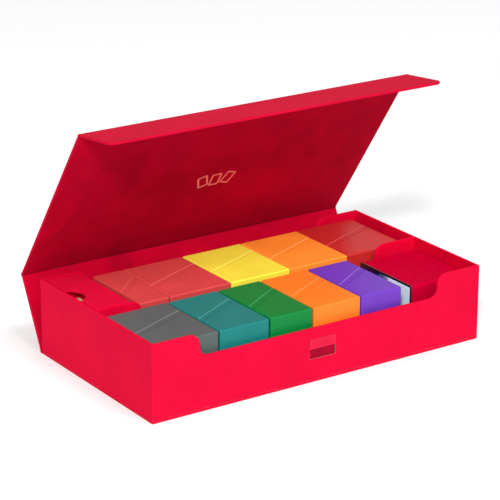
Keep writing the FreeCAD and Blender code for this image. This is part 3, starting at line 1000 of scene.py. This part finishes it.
@dataclass
class Emblem:
    """A fan of three cards in foil, in the middle of the lid's lining."""

    panel: CoverPanel
    card: tuple[float, float] = (13 * MM, 19 * MM)
    line: float = 2.3 * MM
    corner: float = 1.5 * MM
    spread: float = 20.0
    pitch: float = 1.3  # from card to card, in widths
    height: float = 0.475  # up the lid
    film: float = 0.08 * MM

    def build(self) -> None:
        """Stamp the three outlines of cards and turn them onto the lid."""
        pieces = []
        level = self.panel.thickness / 2 + self.panel.proud
        width, height = self.card
        drop = Matrix.Translation((0, -0.6 * height, 0))
        for number in (-1, 0, 1):
            item = block("card_outline", (-width / 2, 0, level),
                         (width / 2, height, level + self.film))
            round_edges(item, self.corner, 4, lambda edge: runs_along(edge, 2))
            pick(item, Part.FACE, lambda face: abs(face.normal.z) > 0.99)
            bpy.ops.mesh.inset(thickness=self.line)
            bpy.ops.mesh.bridge_edge_loops()
            leave()
            turn = Matrix.Rotation(math.radians(-number * self.spread), 4, "Z")
            shift = Matrix.Translation((number * self.pitch * width,
                                        self.panel.span * self.height, 0))
            item.data.transform(shift @ turn @ drop)
            pieces.append(item)
        item = join("lid_emblem", pieces)
        self.panel.turn(item)
        dress(item, self.panel.body, (FOIL,), ())


@dataclass
class CardBox:
    """A two-part card box: a base with a neck, and a lid that slides over the neck."""

    name: str
    finishes: tuple[FrostedPlastic, ...]
    slot: str
    wall: float = 1.6 * MM
    neck_gap: float = 0.1 * MM
    neck_wall: float = 0.9 * MM
    neck_reach: float = 14 * MM
    edge_round: float = 1.5 * MM
    seam_near: float = 40 * MM
    seam_far: float = 72.5 * MM
    lip: float = 0.7 * MM
    band: float = 8.5 * MM
    band_groove: float = 0.55 * MM
    band_width: float = 1.1 * MM
    past: float = 0.3 * MM
    neck_round: float = 0.5 * MM

    def build(self) -> None:
        """Build and dress the base and the lid, and dress the deck inside them."""
        base_low, base_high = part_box(f"{self.name}_base")
        lid_low, lid_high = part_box(f"{self.name}_lid")
        self.low = low = Vector(map(min, base_low, lid_low))
        self.high = high = Vector(map(max, base_high, lid_high))
        self.seam = Vector((low.x, low.y + self.seam_near, 0))
        self.along = (Vector((high.x, low.y + self.seam_far, 0)) - self.seam).normalized()
        self.across = Vector((-self.along.y, self.along.x, 0))
        base = self.shell(f"{self.name}_body_shell", keep_front=True)
        base = join(f"{self.name}_body_shell", (base, self.neck()))
        dress(base, self.name, self.finishes, (f"{self.name}_base",))
        lid = self.shell(f"{self.name}_cap_shell", keep_front=False)
        dress(lid, self.name, self.finishes, (f"{self.name}_lid",))
        dress_node(f"{self.name}_deck", DECK)

    def cut_at(self, item: bpy.types.Object, shift: float, keep_front: bool, fill: bool) -> None:
        """Bisect a piece on a plane parallel to the seam and throw one side away.

        Args:
            item: The piece.
            shift: How far behind the seam the plane is, along the box's length.
            keep_front: Whether the side in front of the plane stays.
            fill: Whether the cut is closed.
        """
        select_only(item)
        bpy.ops.object.mode_set(mode="EDIT")
        bpy.ops.mesh.select_all(action="SELECT")
        bpy.ops.mesh.bisect(plane_co=self.seam + Vector((0, shift, 0)), plane_no=self.across,
                            use_fill=fill, clear_outer=keep_front, clear_inner=not keep_front)
        leave()

    def behind(self, point: Vector) -> float:
        """How far a point is behind the seam's plane."""
        return (point - self.seam).dot(self.across)

    def shell(self, name: str, keep_front: bool) -> bpy.types.Object:
        """Make one half of the box's outer shell, with round edges and an open seam.

        Args:
            name: The piece's name.
            keep_front: Whether this is the front half.

        Returns:
            The half, with its lip and its band on their own materials.
        """
        item = block(name, self.low, self.high)
        round_edges(item, self.edge_round, 4, lambda edge: True)
        if keep_front:
            self.mark_band(item)
        self.cut_at(item, 0.0, keep_front, fill=False)
        modify(item, "SOLIDIFY", thickness=self.wall, offset=-1.0, use_even_offset=True)
        round_edges(item, self.lip, 3, lambda edge: all(
            near(self.behind(vertex.co), 0.0, within=0.05 * MM) for vertex in edge.verts)
            and self.is_outer(edge))
        self.color_edges(item)
        return item

    def inset(self, point: Vector) -> float:
        """How deep a point is in the box, from its sides, its floor and its top."""
        return min(min(point[axis] - self.low[axis], self.high[axis] - point[axis])
                   for axis in (0, 2))

    def is_outer(self, edge: Any) -> bool:
        """Whether a bmesh edge lies on the outside of the box, at the seam.

        Args:
            edge: The edge.

        Returns:
            Whether it does.
        """
        inset = self.inset(middle(edge))
        return inset < 0.5 * self.edge_round and len(edge.link_faces) == 2 and any(
            abs(face.normal.dot(self.across)) > 0.9 for face in edge.link_faces)

    def mark_band(self, item: bpy.types.Object) -> None:
        """Press a fine groove parallel to the seam, so that a raised band runs along it.

        Args:
            item: The front half, before its seam is cut.
        """
        half, floor, top = self.band_width / 2, self.low.z, self.high.z
        tool = block("groove", (-1.0, -half, floor - self.past), (1.0, half, top + self.past))
        carve(tool, block("groove_core", (-2.0, -4 * half, floor + self.band_groove),
                          (2.0, 4 * half, top - self.band_groove)))
        to_middle = (self.high.x - self.low.x) / 2 / self.along.x
        offset = self.seam + self.along * to_middle
        tool.data.transform(
            Matrix.Translation((offset.x, offset.y - self.band, 0))
            @ Matrix.Rotation(math.atan2(self.along.y, self.along.x), 4, "Z"))
        carve(item, tool)

    def neck(self) -> bpy.types.Object:
        """Make the thin neck that stands in the lid, open at its end.

        Returns:
            The neck.
        """
        inset = self.wall + self.neck_gap
        room = Vector((inset, inset, inset))
        item = block("neck", self.low + room, self.high - room)
        round_edges(item, self.neck_round, 2, lambda edge: True)
        self.cut_at(item, -0.5 * self.neck_reach, keep_front=False, fill=False)
        self.cut_at(item, self.neck_reach, keep_front=True, fill=False)
        modify(item, "SOLIDIFY", thickness=self.neck_wall, offset=-1.0, use_even_offset=True)
        return item

    def color_edges(self, item: bpy.types.Object) -> None:
        """Give the lip the second finish (painted highlight), the band the third (painted shade).

        Args:
            item: The half.
        """
        for _ in self.finishes:
            item.data.materials.append(None)
        groove = -self.band * self.across.y
        for face in item.data.polygons:
            if self.inset(face.center) > self.wall * 0.8:
                continue
            behind = self.behind(face.center)
            if abs(behind) < self.lip:
                face.material_index = 1
            elif groove < behind < 0:
                face.material_index = 2


@dataclass
class AccessoryBox:
    """The lined box at the tray's left end: its body, its notched lid and the dice in it."""

    wall: float = 1.8 * MM
    edge_round: float = 0.9 * MM
    notch_radius: float = 18.8 * MM
    notch_depth: float = 12 * MM
    notch_middle: float = 47 * MM
    die: float = 16 * MM
    die_round: float = 2 * MM
    pip: float = 1.4 * MM
    pip_proud: float = 0.02 * MM
    pip_depth: float = 0.1 * MM
    play: float = 0.3 * MM
    insert_depth: float = 20 * MM

    def build(self) -> None:
        """Build and dress the body, the lid and the dice."""
        low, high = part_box("accessory_box_body")
        item = block("accessory_tub", low, high)
        soften(item, self.edge_round, 3)
        wall = Vector((self.wall, self.wall, self.wall))
        carve(item, block("tub_room", low + wall,
                          high - Vector((self.wall, self.wall, -5 * MM))))
        dress(item, "accessory_box", (LEATHER,), ("accessory_box_body",))
        self.insert(low + wall, high - wall)
        low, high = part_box("accessory_box_lid")
        lid = block("accessory_cap", low, high)
        soften(lid, self.edge_round, 3)
        select_nothing()
        bpy.ops.mesh.primitive_cylinder_add(
            vertices=96, radius=self.notch_radius, depth=20 * MM,
            location=(low.x + self.notch_depth - self.notch_radius, low.y + self.notch_middle,
                      (low.z + high.z) / 2))
        finger = bpy.context.object
        bpy.ops.object.transform_apply(location=True)
        carve(lid, finger)
        soften(lid, 0.3 * MM, 2, angle=60)
        dress(lid, "accessory_lid", (LEATHER,), ("accessory_box_lid",))
        self.dice()

    def insert(self, low: Vector, high: Vector) -> None:
        """Fit a cloth-covered insert round the dice.

        Args:
            low: The lowest corner of the room in the tub.
            high: The highest corner of that room, below the lid.
        """
        dice_low, dice_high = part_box("dice")
        item = block("accessory_insert",
                     (low.x + self.play, low.y + self.play, high.z - self.insert_depth),
                     (high.x - self.play, high.y - self.play, high.z))
        carve(item, block("dice_room", (low.x - self.wall, dice_low.y - self.play, low.z),
                          (dice_high.x + self.play, dice_high.y + self.play, high.z + self.wall)))
        soften(item, 0.5 * MM, 2)
        dress(item, "accessory_box", (LIT_LINING,), ())

    def dice(self) -> None:
        """Stack the dice, each copied from the first."""
        low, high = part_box("dice")
        first = block("first_die", low, low + Vector((self.die, self.die, self.die)))
        soften(first, self.die_round, 3)
        pips = self.pips(low)
        counts = [round((high[axis] - low[axis]) / self.die) for axis in range(3)]
        steps = [(high[axis] - low[axis] - self.die) / max(counts[axis] - 1, 1)
                 for axis in range(3)]
        dice, marks = [], []
        for place in product(*(range(count) for count in counts)):
            move = [number * step for number, step in zip(place, steps)]
            dice.append(copy_of(first, "die", move))
            marks.append(copy_of(pips, "pips", move))
        for used in (first, pips):
            bpy.data.objects.remove(used)
        dress(join("dice_stack", dice), "accessory_box", (DICE,), ("dice",))
        dress(join("dice_pips", marks), "accessory_box", (PIPS,), ())

    def pips(self, low: Vector) -> bpy.types.Object:
        """Make the five pips on a die's upper face.

        Args:
            low: The die's lowest corner.

        Returns:
            The pips as one object.
        """
        spots = []
        centre = low + Vector((self.die, self.die, self.die)) / 2
        pitch = self.die / 4
        for across, along in ((-1, -1), (1, -1), (0, 0), (-1, 1), (1, 1)):
            select_nothing()
            bpy.ops.mesh.primitive_cylinder_add(
                vertices=16, radius=self.pip, depth=self.pip_depth,
                location=(centre.x + across * pitch, centre.y + along * pitch,
                          low.z + self.die + self.pip_proud))
            bpy.ops.object.transform_apply(location=True)
            spots.append(bpy.context.object)
        pips = join("pips", spots)
        soften(pips, 0.03 * MM, 1)
        return pips


@dataclass
class CardStack:
    """The loose cards in red sleeves, and the picture card in front of them."""

    sleeve: float = 0.7 * MM
    film: float = 0.56 * MM
    corner: float = 3.0 * MM
    slip: float = 0.28 * MM
    seed: int = 7

    def build(self) -> None:
        """Build the sleeves one behind the other, and the picture card."""
        low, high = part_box("sleeved_cards")
        count = int((high.x - low.x) / self.sleeve)
        step = (high.x - low.x) / count
        first = block("sleeve", low + Vector((0, self.slip, 0)),
                      Vector((low.x + self.film, high.y - self.slip, high.z - self.slip)))
        round_edges(first, self.corner, 5, lambda edge: runs_along(edge, 0))
        chance = random.Random(self.seed)
        sleeves = []
        for number in range(count):
            slip = chance.uniform(-self.slip, self.slip)
            drop = chance.uniform(0, self.slip)
            sleeves.append(copy_of(first, "sleeve", (number * step, slip, drop)))
        bpy.data.objects.remove(first)
        stack = join("sleeve_stack", sleeves)
        dress(stack, "card_stack", (SLEEVES,), ("sleeved_cards",))
        low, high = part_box("art_card")
        card = block("picture_card", low, high)
        round_edges(card, self.corner, 6, lambda edge: runs_along(edge, 0))
        soften(card, 0.15 * MM, 2, angle=60)
        picture = PictureCard("printed_card", "#101018", tuple(low), tuple(high))
        dress(card, "card_stack", (picture,), ("art_card",))


# --- light and camera ----------------------------------------------------------------------------


@dataclass
class Studio:
    """A pale floor, soft lamps and the camera."""

    lens: float = 163.85
    sensor: float = 36.0
    distance: float = 2.370784
    azimuth: float = -34.223
    elevation: float = 19.682
    roll: float = 0.25
    aim: tuple[float, float, float] = (-0.03724, -0.03180, 0.12682)
    floor_color: str = "#DBDBDB"
    daylight: float = 0.70
    target: tuple[float, float, float] = (0.0, 0.05, 0.1)

    def camera(self) -> None:
        """Stand the camera in front and to the left, a little above the tray."""
        turn = math.radians(self.azimuth)
        lift = math.radians(self.elevation)
        back = Vector((math.cos(lift) * math.sin(turn), -math.cos(lift) * math.cos(turn),
                       math.sin(lift)))
        right = Vector((math.cos(turn), math.sin(turn), 0))
        up = back.cross(right)
        lean = math.radians(self.roll)
        across = right * math.cos(lean) + up * math.sin(lean)
        upward = back.cross(across)
        select_nothing()
        bpy.ops.object.camera_add()
        camera = bpy.context.object
        camera.name = "camera"
        rows = Matrix((across, upward, back)).transposed().to_4x4()
        camera.matrix_world = Matrix.Translation(Vector(self.aim) + back * self.distance) @ rows
        camera.data.sensor_width = self.sensor
        camera.data.lens = self.lens
        camera.data.clip_end = 50.0
        bpy.context.scene.camera = camera

    def lamp(self, name: str, place: Sequence[float], size: float, power: float) -> None:
        """Hang a square soft lamp that looks at the case.

        Args:
            name: The lamp's name.
            place: Where it hangs.
            size: Its side.
            power: Its power in watts.
        """
        select_nothing()
        bpy.ops.object.light_add(type="AREA", location=place)
        lamp = bpy.context.object
        lamp.name = name
        lamp.data.shape = "SQUARE"
        lamp.data.size = size
        lamp.data.energy = power
        sight = Vector(self.target) - Vector(place)
        lamp.rotation_euler = sight.to_track_quat("-Z", "Y").to_euler()

    def build(self) -> None:
        """Set up the floor, the world, the lamps and the camera."""
        select_nothing()
        bpy.ops.mesh.primitive_plane_add(size=40.0, location=(0, 0, 0))
        floor = bpy.context.object
        floor.name = "studio_floor"
        paper = bpy.data.materials.new("pale_paper")
        paper.use_nodes = True
        inputs = paper.node_tree.nodes["Principled BSDF"].inputs
        inputs["Base Color"].default_value = linear(self.floor_color)
        inputs["Roughness"].default_value = 0.9
        floor.data.materials.append(paper)
        world = bpy.data.worlds.new("studio")
        world.use_nodes = True
        inputs = world.node_tree.nodes["Background"].inputs
        inputs["Color"].default_value = grey(1.0)
        inputs["Strength"].default_value = self.daylight
        bpy.context.scene.world = world
        bpy.context.scene.view_settings.view_transform = "Standard"
        self.lamp("key_lamp", (-4.12, -5.04, 4.69), 1.0, 660.0)
        self.lamp("top_lamp", (0.4, -4.2, 6.8), 3.0, 290.0)
        self.camera()


class Plastic(Enum):
    """The card boxes' colours: face, lip painted lighter as a highlight, and the band over the
    neck painted darker as shade.
    """

    GREY = ("#4B5554", "#6E7676", "#454E4D")
    TEAL = ("#156E6A", "#40908C", "#12625F")
    GREEN = ("#057132", "#30905A", "#04662C")
    ORANGE = ("#DC6F22", "#E88A4C", "#C8641E")
    PURPLE = ("#6032A3", "#865EC0", "#562D93")
    RED = ("#BC3E3E", "#CE5C58", "#AA3737")
    DEEP_RED = ("#AC2221", "#C04C48", "#9A1F1E")
    YELLOW = ("#DACC3D", "#E8DA66", "#C6B836")
    AMBER = ("#E8822C", "#EC9E5C", "#D27628")


CARD_BOXES = (
    ("grey_box", Plastic.GREY), ("teal_box", Plastic.TEAL), ("green_box", Plastic.GREEN),
    ("orange_box", Plastic.ORANGE), ("purple_box", Plastic.PURPLE),
    ("small_red_box", Plastic.RED), ("left_red_box", Plastic.RED),
    ("yellow_box", Plastic.YELLOW), ("amber_box", Plastic.AMBER),
    ("right_red_box", Plastic.DEEP_RED),
)


@dataclass
class Cover:
    """The wrap-over cover: spine, lid and flap, their folds, and the emblem inside the lid."""

    flap_length: float = 63 * MM
    flap_corner: float = 9 * MM
    bodies: tuple[str, ...] = ("tray", "spine", "lid", "flap")

    def build(self) -> None:
        """Build the three panels, the three folds and the emblem."""
        half = (cad_box[1][0] - cad_box[0][0]) / 2
        folds = [joint(f"{name}_hinge") for name in self.bodies[1:]]
        pivots = [Vector(item["pos_m"]) for item in folds]
        leans = [0.0]
        for item in folds:
            leans.append(leans[-1] + math.radians(item["range_deg"][1]))
        spans = [(there - here).length for here, there in zip(pivots, pivots[1:])]
        spans.append(self.flap_length)
        base_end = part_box("base_panel")[1].y
        for number, name in enumerate(self.bodies[1:]):
            free = name == "flap"
            panel = CoverPanel(name, name, pivots[number], leans[number + 1], spans[number], half,
                               corner=self.flap_corner if free else 0.0, free_edge=free)
            panel.build()
            if name == "lid":
                Emblem(panel).build()
            gap = pivots[0].y - base_end if name == "spine" else panel.gap
            Fold(name, (self.bodies[number], name), pivots[number], leans[number],
                 leans[number + 1], half, gap=(gap, panel.gap)).build()


def main() -> None:
    """Build the case, its contents and the studio."""
    logging.basicConfig(level=logging.INFO, format="%(message)s")
    Studio().build()
    Tray(RimOutline()).build()
    Cover().build()
    for name, color in CARD_BOXES:
        # The moulded wall is matt; the lip at the seam is painted paler as a highlight, and the
        # band over the neck darker as painted shade.
        finishes = tuple(
            FrostedPlastic(f"{color.name.lower()}_polypropylene{place}", code)
            for place, code in zip(("", "_highlight_lip", "_shade_band"), color.value))
        CardBox(name, finishes, name).build()
    AccessoryBox().build()
    CardStack().build()
    dress_node("flap_magnets", STEEL)


if __name__ == "__main__":
    main()
